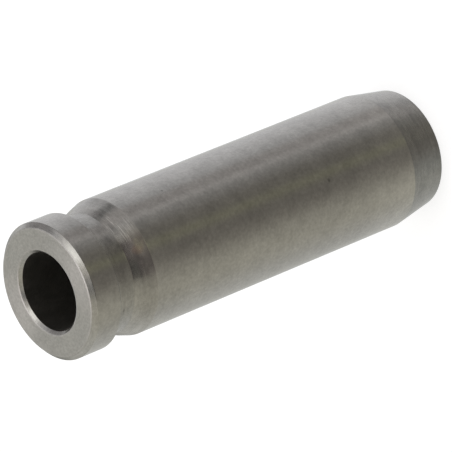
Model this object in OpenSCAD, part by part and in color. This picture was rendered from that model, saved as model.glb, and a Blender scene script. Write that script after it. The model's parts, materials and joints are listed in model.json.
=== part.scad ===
// Valve guide: a turned and ground sleeve that is pressed into a cylinder head and carries a valve stem.
// It stands on its port end. The seal end, with the groove that holds the stem seal, is at the top.

/* [Body] */
// Outside diameter, ground in one pass over the body and the head
body_d = 14; // [13.2:0.05:17]
// Length over both end faces
guide_len = 47; // [30:0.5:75]

/* [Bore] */
// Diameter of the reamed bore that the valve stem slides in
bore_d = 8; // [5:0.05:9.5]
// Size of the 45 degree chamfer at each end of the bore
mouth_chamfer = 0.35; // [0.1:0.05:0.8]

/* [Seal end] */
// Length of the head, from the top face to the groove
head_len = 3.45; // [1.5:0.05:8]
// Size of the 45 degree chamfer round the top face
head_chamfer = 0.5; // [0.2:0.05:1.2]

/* [Seal groove] */
// Depth of the groove below the outside diameter
groove_depth = 0.9; // [0.55:0.05:1.6]
// Length of the groove's floor, from the head to the foot of the shoulder
floor_len = 2.45; // [1:0.05:6]
// Slope of the shoulder's lower part, measured from the axis
foot_angle = 28; // [20:1:60]
// How far the lower part rises above the groove's floor
foot_rise = 0.47; // [0.1:0.01:0.85]
// Slope of the shoulder's upper part, which runs out at the body
crown_angle = 18; // [8:1:28]

/* [Port end] */
// Length of the taper that leads the guide into the cylinder head
lead_len = 4.5; // [1:0.1:10]
// Slope of that taper, measured from the axis
lead_angle = 10; // [3:0.5:20]

/* [Edges] */
// Radius of the edges of the top face and of the bore's mouths, which are rubbed round
face_edge_r = 0.3; // [0.05:0.01:0.4]
// Radius of the edges that stay crisp: round the head, and round the port face
edge_r = 0.1; // [0.05:0.01:0.4]
// Radius that the turning tool's nose leaves in the groove
nose_r = 0.3; // [0.05:0.01:0.6]
// Radius where the ground outside meets the shoulder and the taper
corner_r = 0.4; // [0.1:0.1:3]
// Radius where the shoulder's two slopes meet
blend_r = 3; // [0.5:0.5:8]

/* [Hidden] */

// Straight steps in each rounded corner of the section
ROUND_STEPS = 6;
// Share of a wall that the rounding of one of its ends may take
WALL_SHARE = 0.45;
// Facets of the turned surfaces
$fn = 128;

body_r = body_d / 2;
bore_r = bore_d / 2;
mouth_r = bore_r + mouth_chamfer;
groove_r = body_r - groove_depth;
foot_r = groove_r + foot_rise;
lead_r = body_r - lead_len * tan(lead_angle);

// Heights, measured from the port end
head_z = guide_len - head_len;
floor_z = head_z - floor_len;
foot_z = floor_z - foot_rise / tan(foot_angle);
crown_z = foot_z - (body_r - foot_r) / tan(crown_angle);

// Section of the wall: [radius, height, corner radius], up the outside and down the bore
WALL = [
    [lead_r, 0, edge_r],
    [body_r, lead_len, corner_r],
    [body_r, crown_z, corner_r],
    [foot_r, foot_z, blend_r],
    [groove_r, floor_z, nose_r],
    [groove_r, head_z, nose_r],
    [body_r, head_z, edge_r],
    [body_r, guide_len - head_chamfer, edge_r],
    [body_r - head_chamfer, guide_len, face_edge_r],
    [mouth_r, guide_len, face_edge_r],
    [bore_r, guide_len - mouth_chamfer, 0],
    [bore_r, mouth_chamfer, 0],
    [mouth_r, 0, face_edge_r]
];

function unit(v) = v / norm(v);
function point(corner) = [corner[0], corner[1]];

// Points of the arc that rounds corner b between its neighbours a and c
function arc(a, b, c, r) =
    let (
        u = unit(a - b),
        v = unit(c - b),
        half = acos(u * v) / 2,
        reach = min(r / tan(half), WALL_SHARE * norm(a - b), WALL_SHARE * norm(c - b)),
        centre = b + unit(u + v) * reach / cos(half),
        from = b + u * reach - centre,
        to = b + v * reach - centre,
        turn = 180 - 2 * half
    )
    [for (i = [0:ROUND_STEPS])
        let (k = i / ROUND_STEPS)
        centre + (from * sin((1 - k) * turn) + to * sin(k * turn)) / sin(turn)];

// The section with each corner rounded by its own radius
function rounded(corners) =
    let (n = len(corners))
    [for (i = [0:n - 1])
        let (
            a = point(corners[(i + n - 1) % n]),
            b = point(corners[i]),
            c = point(corners[(i + 1) % n]),
            r = corners[i][2]
        )
        each r > 0 ? arc(a, b, c, r) : [b]];

module valve_guide() {
    color("gray")
        rotate_extrude()
            polygon(rounded(WALL));
}

valve_guide();
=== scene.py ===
"""Looks of a valve guide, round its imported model, as a Blender add-on that is run as a script.

The guide is one turned and ground sleeve. Its surface is worked out from its section, its metal has five
procedural finishes, and the stage is a pale floor in a soft studio. Heights run from the port end.
"""

import json
import math
from typing import NamedTuple

import bpy
import numpy as np
from bpy.props import FloatProperty, FloatVectorProperty, IntProperty, PointerProperty
from mathutils import Matrix, Vector


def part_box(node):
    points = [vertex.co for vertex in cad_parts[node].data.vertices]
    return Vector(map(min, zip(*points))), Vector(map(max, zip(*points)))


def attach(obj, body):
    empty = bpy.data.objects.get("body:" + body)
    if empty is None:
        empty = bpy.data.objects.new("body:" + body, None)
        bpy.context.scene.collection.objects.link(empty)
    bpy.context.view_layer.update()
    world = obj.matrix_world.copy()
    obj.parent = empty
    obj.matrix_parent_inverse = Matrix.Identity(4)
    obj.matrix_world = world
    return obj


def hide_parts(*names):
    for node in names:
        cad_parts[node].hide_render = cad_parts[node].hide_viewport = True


bl_info = {
    "name": "Valve guide",
    "version": (1, 0, 0),
    "blender": (4, 5, 0),
    "location": "3D View > Sidebar > Valve guide",
    "description": "Builds a turned and ground valve guide and the studio that it is seen in",
    "category": "Add Mesh",
}

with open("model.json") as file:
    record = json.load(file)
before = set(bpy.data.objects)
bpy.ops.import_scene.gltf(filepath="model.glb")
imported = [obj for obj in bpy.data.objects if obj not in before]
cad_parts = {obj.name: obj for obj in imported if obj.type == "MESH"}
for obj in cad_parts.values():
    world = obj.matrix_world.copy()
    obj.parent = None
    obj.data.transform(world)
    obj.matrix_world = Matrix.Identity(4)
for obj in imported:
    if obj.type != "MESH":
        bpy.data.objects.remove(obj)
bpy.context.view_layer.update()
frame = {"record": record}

NODE = "valve_guide"
SLOT = "guide_metal"
BODY = "root"
SLEEVE = "turned_sleeve"

MM = 0.001
FULL_TURN = 2 * math.pi
# Pixels across the photograph, in which the place of the top face's centre was measured
PHOTO_WIDTH = 452
# Width of the camera's sensor in millimetres, on which its lens is given, and the distances that it sees
SENSOR_WIDTH = 36
CLIP = (0.01, 20)
MOUNTS = {mount["name"]: mount for mount in frame["record"]["mounts"]}
METAL = next(m for m in frame["record"]["materials"] if m["slot"] == SLOT)


def mount_size(mount, name):
    """A size of one of the record's mounts, in metres."""
    return MOUNTS[mount]["dims"][name] * MM


class GuideSizes(bpy.types.PropertyGroup):
    """Sizes of the guide's section."""

    guide_length: FloatProperty(
        name="Length",
        description="Length over both end faces",
        default=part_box(NODE)[1].z,
        min=0,
        unit="LENGTH",
        precision=5,
    )
    body_radius: FloatProperty(
        name="Body radius",
        description="Radius of the ground outside",
        default=mount_size("ground_body", "r_mm"),
        min=0,
        unit="LENGTH",
        precision=5,
    )
    bore_radius: FloatProperty(
        name="Bore radius",
        description="Radius of the reamed bore",
        default=mount_size("stem_bore", "r_mm"),
        min=0,
        unit="LENGTH",
        precision=5,
    )
    mouth_chamfer: FloatProperty(
        name="Mouth chamfer",
        description="Size of the 45 degree chamfer at each end of the bore",
        default=0.35 * MM,
        min=0,
        unit="LENGTH",
        precision=5,
    )
    head_length: FloatProperty(
        name="Head length",
        description="From the top face to the groove",
        default=3.45 * MM,
        min=0,
        unit="LENGTH",
        precision=5,
    )
    head_chamfer: FloatProperty(
        name="Head chamfer",
        description="Size of the 45 degree chamfer round the top face",
        default=0.5 * MM,
        min=0,
        unit="LENGTH",
        precision=5,
    )
    groove_depth: FloatProperty(
        name="Groove depth",
        description="Depth of the seal groove below the outside",
        default=0.9 * MM,
        min=0,
        unit="LENGTH",
        precision=5,
    )
    floor_length: FloatProperty(
        name="Groove floor",
        description="Length of the groove's floor, from the head to the foot of the shoulder",
        default=2.45 * MM,
        min=0,
        unit="LENGTH",
        precision=5,
    )
    foot_rise: FloatProperty(
        name="Foot rise",
        description="How far the shoulder's lower part rises above the groove's floor",
        default=0.47 * MM,
        min=0,
        unit="LENGTH",
        precision=5,
    )
    foot_angle: FloatProperty(
        name="Foot slope",
        description="Slope of the shoulder's lower part, from the axis",
        default=math.radians(28),
        unit="ROTATION",
    )
    crown_angle: FloatProperty(
        name="Crown slope",
        description="Slope of the shoulder's upper part, from the axis",
        default=math.radians(18),
        unit="ROTATION",
    )
    lead_length: FloatProperty(
        name="Lead length",
        description="Length of the taper at the port end",
        default=4.5 * MM,
        min=0,
        unit="LENGTH",
        precision=5,
    )
    lead_angle: FloatProperty(
        name="Lead slope",
        description="Slope of that taper, from the axis",
        default=math.radians(10),
        unit="ROTATION",
    )
    face_edge: FloatProperty(
        name="Face edges",
        description="Radius of the edges of the top face and of the bore's mouths, which are rubbed round",
        default=0.3 * MM,
        min=0,
        unit="LENGTH",
        precision=5,
    )
    edge_radius: FloatProperty(
        name="Crisp edges",
        description="Radius of the edges that stay crisp: round the head, and round the port face",
        default=0.1 * MM,
        min=0,
        unit="LENGTH",
        precision=5,
    )
    bore_edge: FloatProperty(
        name="Bore edges",
        description="Radius where the bore meets its chamfers",
        default=0.04 * MM,
        min=0,
        unit="LENGTH",
        precision=5,
    )
    nose_radius: FloatProperty(
        name="Tool nose",
        description="Radius that the tool's nose leaves in the groove",
        default=0.3 * MM,
        min=0,
        unit="LENGTH",
        precision=5,
    )
    corner_radius: FloatProperty(
        name="Body corners",
        description="Radius where the ground outside meets the shoulder and the taper",
        default=0.4 * MM,
        min=0,
        unit="LENGTH",
        precision=5,
    )
    blend_radius: FloatProperty(
        name="Shoulder blend",
        description="Radius where the shoulder's two slopes meet",
        default=3 * MM,
        min=0,
        unit="LENGTH",
        precision=5,
    )
    around: IntProperty(
        name="Steps around",
        description="Faces round the axis",
        default=512,
        min=16,
    )


class GuideFinish(bpy.types.PropertyGroup):
    """Colour and finish of the guide's metal."""

    metal: FloatVectorProperty(
        name="Metal",
        description="Colour of the bare metal",
        subtype="COLOR",
        default=METAL["base_color"],
        min=0,
        max=1,
    )
    ground_roughness: FloatProperty(
        name="Ground finish",
        description="Roughness of the ground outside",
        default=0.24,
        min=0,
        max=1,
        subtype="FACTOR",
    )
    turned_roughness: FloatProperty(
        name="Turned finish",
        description="Roughness of the turned groove, chamfers and taper",
        default=0.26,
        min=0,
        max=1,
        subtype="FACTOR",
    )
    rubbed_roughness: FloatProperty(
        name="Rubbed edges",
        description="Roughness of the rubbed edges of the faces",
        default=0.44,
        min=0,
        max=1,
        subtype="FACTOR",
    )
    faced_roughness: FloatProperty(
        name="Faced finish",
        description="Roughness of the two flat faces",
        default=0.4,
        min=0,
        max=1,
        subtype="FACTOR",
    )
    bored_roughness: FloatProperty(
        name="Reamed finish",
        description="Roughness of the reamed bore",
        default=0.36,
        min=0,
        max=1,
        subtype="FACTOR",
    )
    turned_lay: FloatProperty(
        name="Lay outside",
        description="How much the marks round the guide stretch its reflections along it",
        default=0.5,
        min=0,
        max=1,
        subtype="FACTOR",
    )
    faced_lay: FloatProperty(
        name="Lay of the faces",
        description="How much the marks on the faces stretch their reflections",
        default=0.8,
        min=0,
        max=1,
        subtype="FACTOR",
    )


class StudioSettings(bpy.types.PropertyGroup):
    """The stage, and where the camera stands."""

    floor_size: FloatProperty(
        name="Floor size",
        description="Side of the square floor",
        default=3,
        min=0,
        unit="LENGTH",
    )
    view_height: FloatProperty(
        name="View height",
        description="Angle by which the camera looks down on the guide",
        default=math.radians(36.89),
        unit="ROTATION",
    )
    view_turn: FloatProperty(
        name="View turn",
        description="Angle by which the picture is turned about the line of sight",
        default=math.radians(112.26),
        unit="ROTATION",
    )
    view_distance: FloatProperty(
        name="View distance",
        description="From the camera to the plane of the picture through the top face's centre",
        default=0.49133,
        min=0,
        unit="LENGTH",
    )
    lens: FloatProperty(
        name="Lens",
        description="Focal length on a 36 mm sensor",
        default=407.74,
        min=1,
        unit="CAMERA",
    )
    face_across: FloatProperty(
        name="Face across",
        description="Where the top face's centre lies in the picture, from the left edge, as a share",
        default=46.62 / PHOTO_WIDTH,
        subtype="FACTOR",
    )
    face_down: FloatProperty(
        name="Face down",
        description="Where the top face's centre lies in the picture, from the top edge, as a share",
        default=292.94 / PHOTO_WIDTH,
        subtype="FACTOR",
    )


# Most that the section turns between two rows of an arc, and most between two rows of a straight wall
ARC_STEP = math.radians(6)
ROW_STEP = 2.4 * MM
# How close to an arc the wall beside it has its first row
SUPPORT = 0.05 * MM
# Share of a wall that the rounding of one of its ends may take
WALL_SHARE = 0.45
# Name of the attribute that holds the distance along the section, in millimetres
ALONG = "along"

# How far the tool moves along in one turn of the work, in millimetres
TURNING_FEED = 0.18
FACING_FEED = 0.12
# How deep the marks and the waves of the metal are
MARKS_DEPTH = 0.0035 * MM
RUBBED_DEPTH = 0.004 * MM
REAMED_DEPTH = 0.001 * MM
WAVE_DEPTH = 0.018 * MM
# Small marks on the outside: turn in degrees, height, half width in degrees, half height
PITS = [(45, 33.3, 1.5, 0.14), (-2, 15.4, 2.2, 0.2)]
GROOVE_PIT = (-46, 42.4, 3.2, 0.18)
# Where the shoulder has light scratches, and the levels of noise between which one shows
SCUFFS = (30, 40.2, 24, 1.5)
SCUFF_LEVELS = (0.03, 0.13)
# Stains of the shoulder: the same four, then the colour, and how strong the stains are
STAINS = [
    (5, 39.9, 5.5, 0.7, (0.52, 0.43, 0.35)),
    (10, 39.5, 8, 0.7, (0.47, 0.46, 0.37)),
]
STAIN_STRENGTH = 0.6
# Patches of wear on the shoulder and the groove, some of them painted glints and painted reflections:
# the same four, then how much lighter the metal is there
WORN_AND_GLINTS = [
    (12, 39.5, 18, 1, 0.4),
    (66, 39.4, 18, 1, -0.22),
    (50, 39.8, 4, 1.6, -0.09),
    (13, 41.1, 6, 0.7, -0.16),
    (31, 40.8, 9, 0.5, -0.27),
    (-42, 39.9, 32, 1.5, -0.13),
    (23, 42.2, 9, 0.8, -0.15),
    (-8, 42.1, 11, 0.9, 0.13),
    (5, 40.4, 6, 0.35, 0.13),
    (6, 39.1, 6, 0.35, 0.15),
]
# Heights over which a painted shade darkens the groove's floor upwards, and those over which that ends again
GROOVE_SHADE_START = (41, 41.2)
GROOVE_SHADE_END = (43.6, 43.3)
# Heights over which the body is painted lighter downwards, as a painted reflection near the port end
PAINTED_REFLECTION_END = (14, 5)
# Reflections stretch across the marks, which is a quarter turn from the node's own direction
ACROSS_LAY = 0.25


class Corner(NamedTuple):
    """A corner of the section, with the finish of the wall that follows, and its arc's own if it has one."""

    radius: float
    height: float
    rounding: float
    wall: str
    own: str = ""


def rounded_corner(before, corner, after, radius):
    """The corner of a section, rounded: an arc of that radius tangent to both sides, as points in turn.

    The arc's centre lies on the line that halves the corner. It starts and ends at the same reach from the
    corner, which is the radius over the tangent of half the corner's angle and stays under a share of
    each side.
    """
    to_before = (before - corner) / np.linalg.norm(before - corner)
    to_after = (after - corner) / np.linalg.norm(after - corner)
    half = math.acos(float(to_before @ to_after)) / 2
    reach = min(
        radius / math.tan(half),
        WALL_SHARE * np.linalg.norm(before - corner),
        WALL_SHARE * np.linalg.norm(after - corner),
    )
    middle = to_before + to_after
    centre = corner + middle / np.linalg.norm(middle) * reach / math.cos(half)
    start = corner + to_before * reach - centre
    end = corner + to_after * reach - centre
    turn = math.pi - 2 * half
    share = np.linspace(0, 1, 1 + max(2, math.ceil(turn / ARC_STEP)))[:, None]
    blend = (start * np.sin((1 - share) * turn) + end * np.sin(share * turn)) / math.sin(turn)
    return centre + blend


def straight_rows(start, end):
    """Points between two arcs, in even steps.

    The first and the last are close to the arcs, so that the shading of arc and wall stays apart.
    """
    length = np.linalg.norm(end - start)
    if length < 4 * SUPPORT:
        return np.empty((0, 2))
    steps = max(1, math.ceil((length - 2 * SUPPORT) / ROW_STEP))
    share = np.linspace(SUPPORT / length, 1 - SUPPORT / length, steps + 1)[:, None]
    return start + (end - start) * share


def guide_section(sizes):
    """The guide's section as corners.

    It runs up the outside, over the top face, down the bore and back over the port face. The rubbed
    corners of the two faces have a finish of their own.
    """
    body, bore, length = sizes.body_radius, sizes.bore_radius, sizes.guide_length
    groove = body - sizes.groove_depth
    foot = groove + sizes.foot_rise
    mouth = bore + sizes.mouth_chamfer
    lead = body - sizes.lead_length * math.tan(sizes.lead_angle)
    head_z = length - sizes.head_length
    floor_z = head_z - sizes.floor_length
    foot_z = floor_z - sizes.foot_rise / math.tan(sizes.foot_angle)
    crown_z = foot_z - (body - foot) / math.tan(sizes.crown_angle)
    rubbed, edge, lip = sizes.face_edge, sizes.edge_radius, sizes.bore_edge
    nose, corner = sizes.nose_radius, sizes.corner_radius
    return [
        Corner(lead, 0, edge, "turned"),
        Corner(body, sizes.lead_length, corner, "ground"),
        Corner(body, crown_z, corner, "turned"),
        Corner(foot, foot_z, sizes.blend_radius, "turned"),
        Corner(groove, floor_z, nose, "turned"),
        Corner(groove, head_z, nose, "turned"),
        Corner(body, head_z, edge, "ground"),
        Corner(body, length - sizes.head_chamfer, edge, "turned"),
        Corner(body - sizes.head_chamfer, length, rubbed, "faced", "rubbed"),
        Corner(mouth, length, rubbed, "turned", "rubbed"),
        Corner(bore, length - sizes.mouth_chamfer, lip, "bored"),
        Corner(bore, sizes.mouth_chamfer, lip, "turned"),
        Corner(mouth, 0, rubbed, "faced", "rubbed"),
    ]


def section_rows(corners):
    """All points of the closed section in turn, and for each the finish of its wall.

    A corner's arc has its own finish, or half the finish of the wall before it and half of the next.
    """
    points = np.array([(corner.radius, corner.height) for corner in corners])
    arcs = [
        rounded_corner(points[i - 1], points[i], points[(i + 1) % len(points)], corner.rounding)
        for i, corner in enumerate(corners)
    ]
    rows, finishes = [], []
    for i, (arc, corner) in enumerate(zip(arcs, corners)):
        between = straight_rows(arc[-1], arcs[(i + 1) % len(arcs)][0])
        rows += [arc, between]
        if corner.own:
            before, first = corner.own, len(arc) - 1
        else:
            before, first = corners[i - 1].wall, len(arc) // 2
        finishes += [before] * first + [corner.wall] * (len(arc) - first + len(between))
    return np.concatenate(rows), np.array(finishes)


def turned_surface(name, rows, around):
    """A closed section turned about the Z axis, as one shell of quads.

    Point (i, j) of the grid is row j of the section at angle i: radius times cosine, radius times sine,
    height. Both ways round the grid close on themselves, so the shell has no pole and no open edge.
    """
    angle = np.arange(around) * FULL_TURN / around
    radius, height = rows[:, 0], rows[:, 1]
    x = np.outer(np.cos(angle), radius)
    y = np.outer(np.sin(angle), radius)
    z = np.broadcast_to(height, x.shape)
    points = np.stack([x, y, z], axis=-1).reshape(-1, 3)
    i, j = np.meshgrid(np.arange(around), np.arange(len(rows)), indexing="ij")
    here, beside = i * len(rows), (i + 1) % around * len(rows)
    j_next = (j + 1) % len(rows)
    quads = np.stack([here + j, beside + j, beside + j_next, here + j_next], axis=-1).reshape(-1, 4)
    mesh = bpy.data.meshes.new(name)
    mesh.from_pydata(points, [], quads)
    mesh.polygons.foreach_set("use_smooth", np.ones(len(quads), bool))
    mesh.update()
    return mesh


def row_attribute(mesh, name, values, around):
    """A number per row of the section, given to every vertex of the turned surface."""
    attribute = mesh.attributes.new(name, "FLOAT", "POINT")
    attribute.data.foreach_set("value", np.tile(values, around).astype(np.float32))


def row_materials(mesh, finishes, around, finish):
    """A material for each kind of finish, and on each quad the one of the wall that it lies on."""
    for metal in FINISHES.values():
        mesh.materials.append(metal(finish))
    kinds = list(FINISHES)
    indices = np.array([kinds.index(name) for name in finishes], dtype=np.int32)
    mesh.polygons.foreach_set("material_index", np.tile(indices, around))


class Value:
    """A socket of a node tree. Arithmetic on it adds Math nodes."""

    def __init__(self, tree, socket):
        self.tree = tree
        self.socket = socket

    def math(self, operation, *others):
        """This value and the others put through one Math node."""
        inputs = dict(enumerate((self, *others)))
        return add(self.tree, "Math", {"operation": operation}, inputs)

    def __add__(self, other):
        return self.math("ADD", other)

    def __radd__(self, other):
        return self.math("ADD", other)

    def __sub__(self, other):
        return self.math("SUBTRACT", other)

    def __rsub__(self, other):
        return add(self.tree, "Math", {"operation": "SUBTRACT"}, {0: other, 1: self})

    def __mul__(self, other):
        return self.math("MULTIPLY", other)

    def __rmul__(self, other):
        return self.math("MULTIPLY", other)

    def __truediv__(self, other):
        return self.math("DIVIDE", other)


def add(tree, kind, settings=None, inputs=None, output=0):
    """A shader node with its settings, then its inputs as values or links.

    Gives the chosen output, or nothing where the node has none.
    """
    node = tree.nodes.new("ShaderNode" + kind)
    for key, value in (settings or {}).items():
        setattr(node, key, value)
    for key, value in (inputs or {}).items():
        if isinstance(value, Value):
            tree.links.new(value.socket, node.inputs[key])
        else:
            node.inputs[key].default_value = value
    return Value(tree, node.outputs[output]) if node.outputs else None


def empty_tree(owner):
    """The node tree of a material or a world, switched on and emptied."""
    owner.use_nodes = True
    owner.node_tree.nodes.clear()
    return owner.node_tree


def plain_colour(tree, colour):
    """One colour, the same everywhere."""
    plain = add(tree, "RGB")
    plain.socket.default_value = (*colour, 1)
    return plain


def vector_math(operation, first, second):
    """Two vectors put through one Vector Math node."""
    return add(first.tree, "VectorMath", {"operation": operation}, {0: first, 1: second})


def coordinates(vector):
    """The three coordinates of a vector."""
    return (add(vector.tree, "SeparateXYZ", {}, {"Vector": vector}, output=axis) for axis in "XYZ")


def bearing(x, y):
    """Degrees round the axis from the side that the camera sees, of a place or of a direction."""
    return x.math("ARCTAN2", 0 - y) * math.degrees(1)


def smooth_step(value, start, end):
    """0 at start and 1 at end, with a soft rise between. Start may be the higher of the two."""
    return add(
        value.tree,
        "MapRange",
        {"interpolation_type": "SMOOTHSTEP"},
        {"Value": value, "From Min": start, "From Max": end},
    )


def noise(vector, detail):
    """Noise about 0, from -0.5 to 0.5, with spots of about one unit."""
    settings = {"Vector": vector, "Scale": 1.0, "Detail": detail, "Roughness": 0.5}
    return add(vector.tree, "TexNoise", {"noise_dimensions": "3D"}, settings) - 0.5


def shift(colour, amount):
    """A colour made lighter or darker by an amount that is about 0."""
    grey = add(colour.tree, "CombineXYZ", {}, {axis: 1 + amount for axis in "XYZ"})
    return vector_math("MULTIPLY", colour, grey)


def tint(colour, factor, other):
    """A colour mixed towards another by a factor."""
    inputs = {"Factor": factor, "A": colour, "B": (*other, 1)}
    return add(colour.tree, "Mix", {"data_type": "RGBA"}, inputs, output="Result")


def bump(height, size, under=None):
    """A bumped normal: the height times a size in metres, over another bumped normal if there is one."""
    inputs = {"Strength": 1.0, "Distance": size, "Height": height}
    if under:
        inputs["Normal"] = under
    return add(height.tree, "Bump", {}, inputs)


class BareMetal:
    """A material of bare iron whose patterns run round the guide.

    A pattern is read from the direction round the axis and the distance along the section, so that its
    marks run round the guide on every wall, the flat faces too. Turns are in degrees from the side that
    the camera sees, and lengths in millimetres. Where patterns are added up, the number beside each is
    its share.
    """

    def __init__(self, name, metal):
        self.material = bpy.data.materials.new(name)
        self.tree = empty_tree(self.material)
        place = add(self.tree, "TexCoord", output="Object")
        flat = vector_math("MULTIPLY", place, (1, 1, 0))
        self.around = add(self.tree, "VectorMath", {"operation": "NORMALIZE"}, {0: flat})
        x, y, z = coordinates(place)
        self.turn = bearing(x, y)
        self.height = z / MM
        self.along = add(self.tree, "Attribute", {"attribute_name": ALONG}, output="Fac")
        self.colour = plain_colour(self.tree, metal)

    def marks(self, around, along, detail=2.0):
        """Noise about 0 with so many marks round the guide, and so many in a millimetre along it."""
        settings = {"operation": "SCALE"}
        scaled = add(self.tree, "VectorMath", settings, {0: self.around, "Scale": around / FULL_TURN})
        lift = add(self.tree, "CombineXYZ", {}, {"Z": self.along * along})
        return noise(vector_math("ADD", scaled, lift), detail)

    def rings(self, pitch):
        """The rings that a turning tool leaves, one for each turn of the work: a wave along the section."""
        return (self.along * (FULL_TURN / pitch)).math("SINE")

    def spot(self, turn, height, half_turn, half_height):
        """1 in the middle of an oval on the outside, and softly down to 0 at its rim."""
        across = (self.turn - turn) / half_turn
        up = (self.height - height) / half_height
        return smooth_step(across * across + up * up, 1, 0)

    def finish(self, roughness, lay, normal):
        """The surface itself, and the material with it."""
        surface = add(
            self.tree,
            "BsdfPrincipled",
            {},
            {
                "Base Color": self.colour,
                "Metallic": 1.0,
                "Roughness": roughness,
                "Anisotropic": lay,
                "Anisotropic Rotation": ACROSS_LAY if lay else 0.0,
                "Normal": normal,
            },
        )
        add(self.tree, "OutputMaterial", {}, {"Surface": surface})
        return self.material


def ground_metal(finish):
    """Ground outside: a fine grain, faint streaks and two pits, in patches, on a surface a little wavy.

    A painted reflection makes it lighter towards the port end.
    """
    metal = BareMetal("ground_metal", finish.metal)
    grain = metal.marks(around=130, along=3, detail=3)
    streak = metal.marks(around=36, along=3)
    patch = metal.marks(around=14, along=0.4, detail=3)
    wave = metal.marks(around=8, along=0.2, detail=1)
    uneven = metal.marks(around=30, along=0.8, detail=3)
    pits = sum(metal.spot(*pit) for pit in PITS)
    # Painted reflection: the body is lighter towards the port end
    light = smooth_step(metal.height, *PAINTED_REFLECTION_END)
    shade = grain * 0.48 + streak * 0.1 + patch * 0.25 + uneven * 0.28 + light * 0.15 - pits * 0.4
    metal.colour = shift(metal.colour, shade)
    roughness = finish.ground_roughness + streak * 0.05 + patch * 0.15
    marks_bump = bump(grain + streak * 0.25 - pits * 0.6, MARKS_DEPTH)
    wave_bump = bump(wave + uneven * 0.35, WAVE_DEPTH, marks_bump)
    return metal.finish(roughness, finish.turned_lay, wave_bump)


def turned_metal(finish):
    """Turned walls: the tool's rings under a grain, with wear, painted glints, scratches, stains and a pit.

    The groove's floor is painted darker, as a painted shade in its recess.
    """
    metal = BareMetal("turned_metal", finish.metal)
    rings = metal.rings(TURNING_FEED)
    grain = metal.marks(around=110, along=3, detail=3)
    streak = metal.marks(around=16, along=4)
    patch = metal.marks(around=16, along=0.7, detail=3)
    scuffs = smooth_step(metal.marks(around=15, along=8), *SCUFF_LEVELS) * metal.spot(*SCUFFS)
    pit = metal.spot(*GROOVE_PIT)
    # Patches of wear, some of them painted glints and painted reflections, lighten or darken the metal
    worn_and_glints = sum(metal.spot(*place) * amount for *place, amount in WORN_AND_GLINTS)
    # Painted shade: the groove's floor is darker between the shoulder and the head
    groove_shade = smooth_step(metal.height, *GROOVE_SHADE_START) * smooth_step(metal.height, *GROOVE_SHADE_END)
    for *place, colour in STAINS:
        stain = metal.spot(*place) * (STAIN_STRENGTH + grain + patch)
        metal.colour = tint(metal.colour, stain, colour)
    shade = grain * 0.48 + streak * 0.3 + patch * 0.5 + scuffs * 0.55 + worn_and_glints * (1 + patch * 2)
    metal.colour = shift(metal.colour, shade - groove_shade * 0.15 - pit * 0.22)
    roughness = finish.turned_roughness + streak * 0.1 + patch * 0.15
    marks_bump = bump(rings * 0.08 + grain + streak * 0.6, MARKS_DEPTH)
    return metal.finish(roughness, finish.turned_lay, marks_bump)


def rubbed_metal(finish):
    """Rubbed edges of the faces: duller than the walls, and a little lumpy."""
    metal = BareMetal("rubbed_metal", finish.metal)
    grain = metal.marks(around=110, along=3, detail=3)
    lumps = metal.marks(around=45, along=2)
    metal.colour = shift(metal.colour, grain * 0.4 + lumps * 0.3)
    roughness = finish.rubbed_roughness + lumps * 0.2
    return metal.finish(roughness, 0.0, bump(grain + lumps * 3, RUBBED_DEPTH))


def faced_metal(finish):
    """Flat faces: a fine grain over nearly even rings from facing."""
    metal = BareMetal("faced_metal", finish.metal)
    rings = metal.rings(FACING_FEED)
    grain = metal.marks(around=130, along=5, detail=3)
    patch = metal.marks(around=24, along=1.6, detail=3)
    metal.colour = shift(metal.colour, grain * 0.6 + patch * 0.3)
    roughness = finish.faced_roughness + patch * 0.15
    return metal.finish(roughness, finish.faced_lay, bump(rings * 0.05 + grain, MARKS_DEPTH))


def bored_metal(finish):
    """Reamed bore: smooth, with faint streaks."""
    metal = BareMetal("bored_metal", finish.metal)
    streak = metal.marks(around=30, along=0.5)
    metal.colour = shift(metal.colour, streak * 0.2)
    roughness = finish.bored_roughness + streak * 0.05
    return metal.finish(roughness, 0.0, bump(streak, REAMED_DEPTH))


FINISHES = {
    "ground": ground_metal,
    "turned": turned_metal,
    "rubbed": rubbed_metal,
    "faced": faced_metal,
    "bored": bored_metal,
}


class GUIDE_OT_sleeve(bpy.types.Operator):
    """Turn the guide's section into its surface and give it its metal"""

    bl_idname = "valve_guide.sleeve"
    bl_label = "Turn the guide"

    def execute(self, context):
        sizes, finish = context.scene.guide_sizes, context.scene.guide_finish
        rows, finishes = section_rows(guide_section(sizes))
        mesh = turned_surface(SLEEVE, rows, sizes.around)
        steps = np.linalg.norm(np.diff(rows, axis=0), axis=1)
        row_attribute(mesh, ALONG, np.concatenate([[0], np.cumsum(steps)]) / MM, sizes.around)
        row_materials(mesh, finishes, sizes.around, finish)
        sleeve = bpy.data.objects.new(SLEEVE, mesh)
        context.scene.collection.objects.link(sleeve)
        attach(sleeve, BODY)
        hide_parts(NODE)
        return {"FINISHED"}


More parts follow.
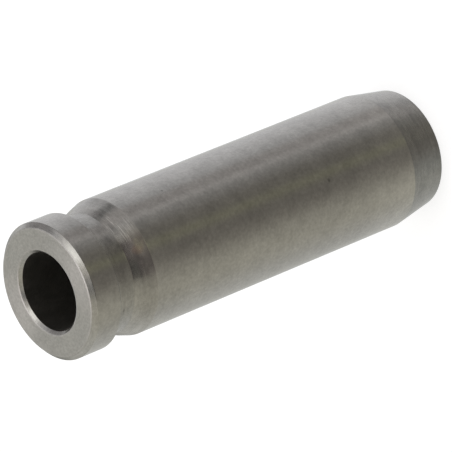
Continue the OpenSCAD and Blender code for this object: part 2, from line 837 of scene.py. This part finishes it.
# What the metal sees round it, in degrees: bearing and height of each card's middle, half its width, half
# its height and its soft edge, then its colour. Bearing 0 is the camera's side, and 90 is to its right.
CARDS = {
    "left wall": (-139, -14, 39, 71, 32, (0.7, 0.7, 0.67)),
    "left low": (-95, -76, 89, 23, 24, (0.24, 0.27, 0.3)),
    "right side": (92, 5, 58, 70, 3, (0.83, 0.83, 0.86)),
    "right wall": (173, -35, 5, 59, 31, (1.33, 1.41, 1.58)),
    "dark front": (7, -22, 48, 69, 34, (0.29, 0.27, 0.24)),
    "brown front": (9, -10, 6, 42, 8, (0.41, 0.4, 0.28)),
    "dark foot": (40, -53, 63, 12, 29, (0.13, 0.13, 0.13)),
    "dark block": (-2, 13, 33, 19, 5, (0.15, 0.13, 0.13)),
    "mid right": (72, -3, 14, 53, 3, (0.49, 0.47, 0.47)),
    "thin dark": (73, -37, 5, 10, 4, (0.42, 0.4, 0.4)),
    "thin light": (63, -37, 3, 10, 3, (0.62, 0.6, 0.6)),
    "dark post": (93, 8, 8, 23, 5, (0.17, 0.17, 0.17)),
    "high right": (116, 15, 24, 17, 3, (0.33, 0.32, 0.33)),
    "high slit": (-21, 44, 17, 26, 12, (0.08, 0.09, 0.08)),
    "dark back": (-176, -14, 24, 13, 10, (0.29, 0.29, 0.27)),
    "strip light": (53, 64, 24, 21, 18, (2.3, 2.3, 2.25)),
    "top light": (0, 90, 180, 21, 15, (2.2, 2.1, 2.2)),
}
ROOM = (0.62, 0.6, 0.52)
WHITE = (1, 1, 1)
# Grey of the floor, and the light that it adds for the camera, which makes it white where it is unshaded
FLOOR_GREY = (0.4, 0.4, 0.4)
FLOOR_GLOW = 0.76


def studio_world():
    """White to the camera. Every other ray sees a pale room with soft-edged cards and lights in it.

    Reflected rays see the room too, and not the white: the guide is bare metal, so the room is all that
    gives it its shades, and light that is sampled and light that is reflected come from the same room.
    """
    world = bpy.data.worlds.new("studio")
    tree = empty_tree(world)
    x, y, z = coordinates(add(tree, "TexCoord", output="Generated"))
    turn = bearing(x, y)
    height = z.math("ARCSINE") * math.degrees(1)
    seen = plain_colour(tree, ROOM)
    for middle, level, half_width, half_height, soft, colour in CARDS.values():
        across = (turn - middle).math("WRAP", -180, 180).math("ABSOLUTE")
        up = (height - level).math("ABSOLUTE")
        inside_across = smooth_step(across, half_width + soft, half_width - soft)
        inside_up = smooth_step(up, half_height + soft, half_height - soft)
        seen = tint(seen, inside_across * inside_up, colour)
    rays = add(tree, "LightPath", output="Is Camera Ray")
    background = add(tree, "Background", {}, {"Color": tint(seen, rays, WHITE), "Strength": 1.0})
    add(tree, "OutputWorld", {}, {"Surface": background})
    return world


def floor_paint():
    """A pale floor that shows white to the camera and still takes the guide's soft shadow."""
    material = bpy.data.materials.new("floor_paint")
    tree = empty_tree(material)
    rays = add(tree, "LightPath", output="Is Camera Ray")
    lit = add(tree, "BsdfDiffuse", {}, {"Color": (*FLOOR_GREY, 1)})
    glow = add(tree, "Emission", {}, {"Color": (*WHITE, 1), "Strength": rays * FLOOR_GLOW})
    both = add(tree, "AddShader", {}, {0: lit, 1: glow})
    add(tree, "OutputMaterial", {}, {"Surface": both})
    return material


def studio_floor(size):
    """The floor: a square in the plane that the guide stands on."""
    half = size / 2
    corners = np.array([(-half, -half, 0), (half, -half, 0), (half, half, 0), (-half, half, 0)])
    mesh = bpy.data.meshes.new("studio_floor")
    mesh.from_pydata(corners, [], [(0, 1, 2, 3)])
    mesh.materials.append(floor_paint())
    floor = bpy.data.objects.new("studio_floor", mesh)
    floor.visible_glossy = False
    return floor


def studio_camera(studio, top):
    """The camera, set by how it looks at the guide's top face.

    It looks down along +Y by the view's height. The picture is turned about the line of sight, and the
    camera is moved across it until the top face's centre lies at its place in the picture.
    """
    rise = studio.view_height
    forward = Vector((0, math.cos(rise), -math.sin(rise)))
    turn = Matrix.Rotation(studio.view_turn, 3, -forward)
    right = turn.inverted() @ Vector((1, 0, 0))
    up = right.cross(forward)
    data = bpy.data.cameras.new("studio_camera")
    data.sensor_width = SENSOR_WIDTH
    data.lens = studio.lens
    data.clip_start, data.clip_end = CLIP
    width = studio.view_distance * SENSOR_WIDTH / studio.lens
    across = (studio.face_across - 0.5) * width
    rising = (0.5 - studio.face_down) * width
    camera = bpy.data.objects.new("studio_camera", data)
    place = Vector((0, 0, top)) - right * across - up * rising - forward * studio.view_distance
    turned = Matrix((right, up, -forward)).transposed()
    camera.matrix_world = Matrix.Translation(place) @ turned.to_4x4()
    return camera


class GUIDE_OT_stage(bpy.types.Operator):
    """Set up the floor, the studio's light and the camera"""

    bl_idname = "valve_guide.stage"
    bl_label = "Set the stage"

    def execute(self, context):
        scene = context.scene
        scene.world = studio_world()
        scene.view_settings.view_transform = "Standard"
        floor = studio_floor(scene.guide_studio.floor_size)
        camera = studio_camera(scene.guide_studio, scene.guide_sizes.guide_length)
        for thing in (floor, camera):
            scene.collection.objects.link(thing)
        scene.camera = camera
        return {"FINISHED"}


class GUIDE_PT_panel(bpy.types.Panel):
    """Sizes, finish and stage of the valve guide"""

    bl_idname = "GUIDE_PT_panel"
    bl_label = "Valve guide"
    bl_space_type = "VIEW_3D"
    bl_region_type = "UI"
    bl_category = "Valve guide"

    def draw(self, context):
        scene = context.scene
        for settings, operator in (
            ((scene.guide_sizes, scene.guide_finish), GUIDE_OT_sleeve),
            ((scene.guide_studio,), GUIDE_OT_stage),
        ):
            box = self.layout.box()
            for group in settings:
                for name in group.bl_rna.properties.keys():
                    if name not in {"rna_type", "name"}:
                        box.prop(group, name)
            box.operator(operator.bl_idname)


SETTINGS = {
    "guide_sizes": GuideSizes,
    "guide_finish": GuideFinish,
    "guide_studio": StudioSettings,
}
CLASSES = (*SETTINGS.values(), GUIDE_OT_sleeve, GUIDE_OT_stage, GUIDE_PT_panel)


def register():
    for cls in CLASSES:
        bpy.utils.register_class(cls)
    for name, group in SETTINGS.items():
        setattr(bpy.types.Scene, name, PointerProperty(type=group))


def unregister():
    for name in SETTINGS:
        delattr(bpy.types.Scene, name)
    for cls in reversed(CLASSES):
        bpy.utils.unregister_class(cls)


def main():
    register()
    bpy.ops.valve_guide.sleeve()
    bpy.ops.valve_guide.stage()


if __name__ == "__main__":
    main()
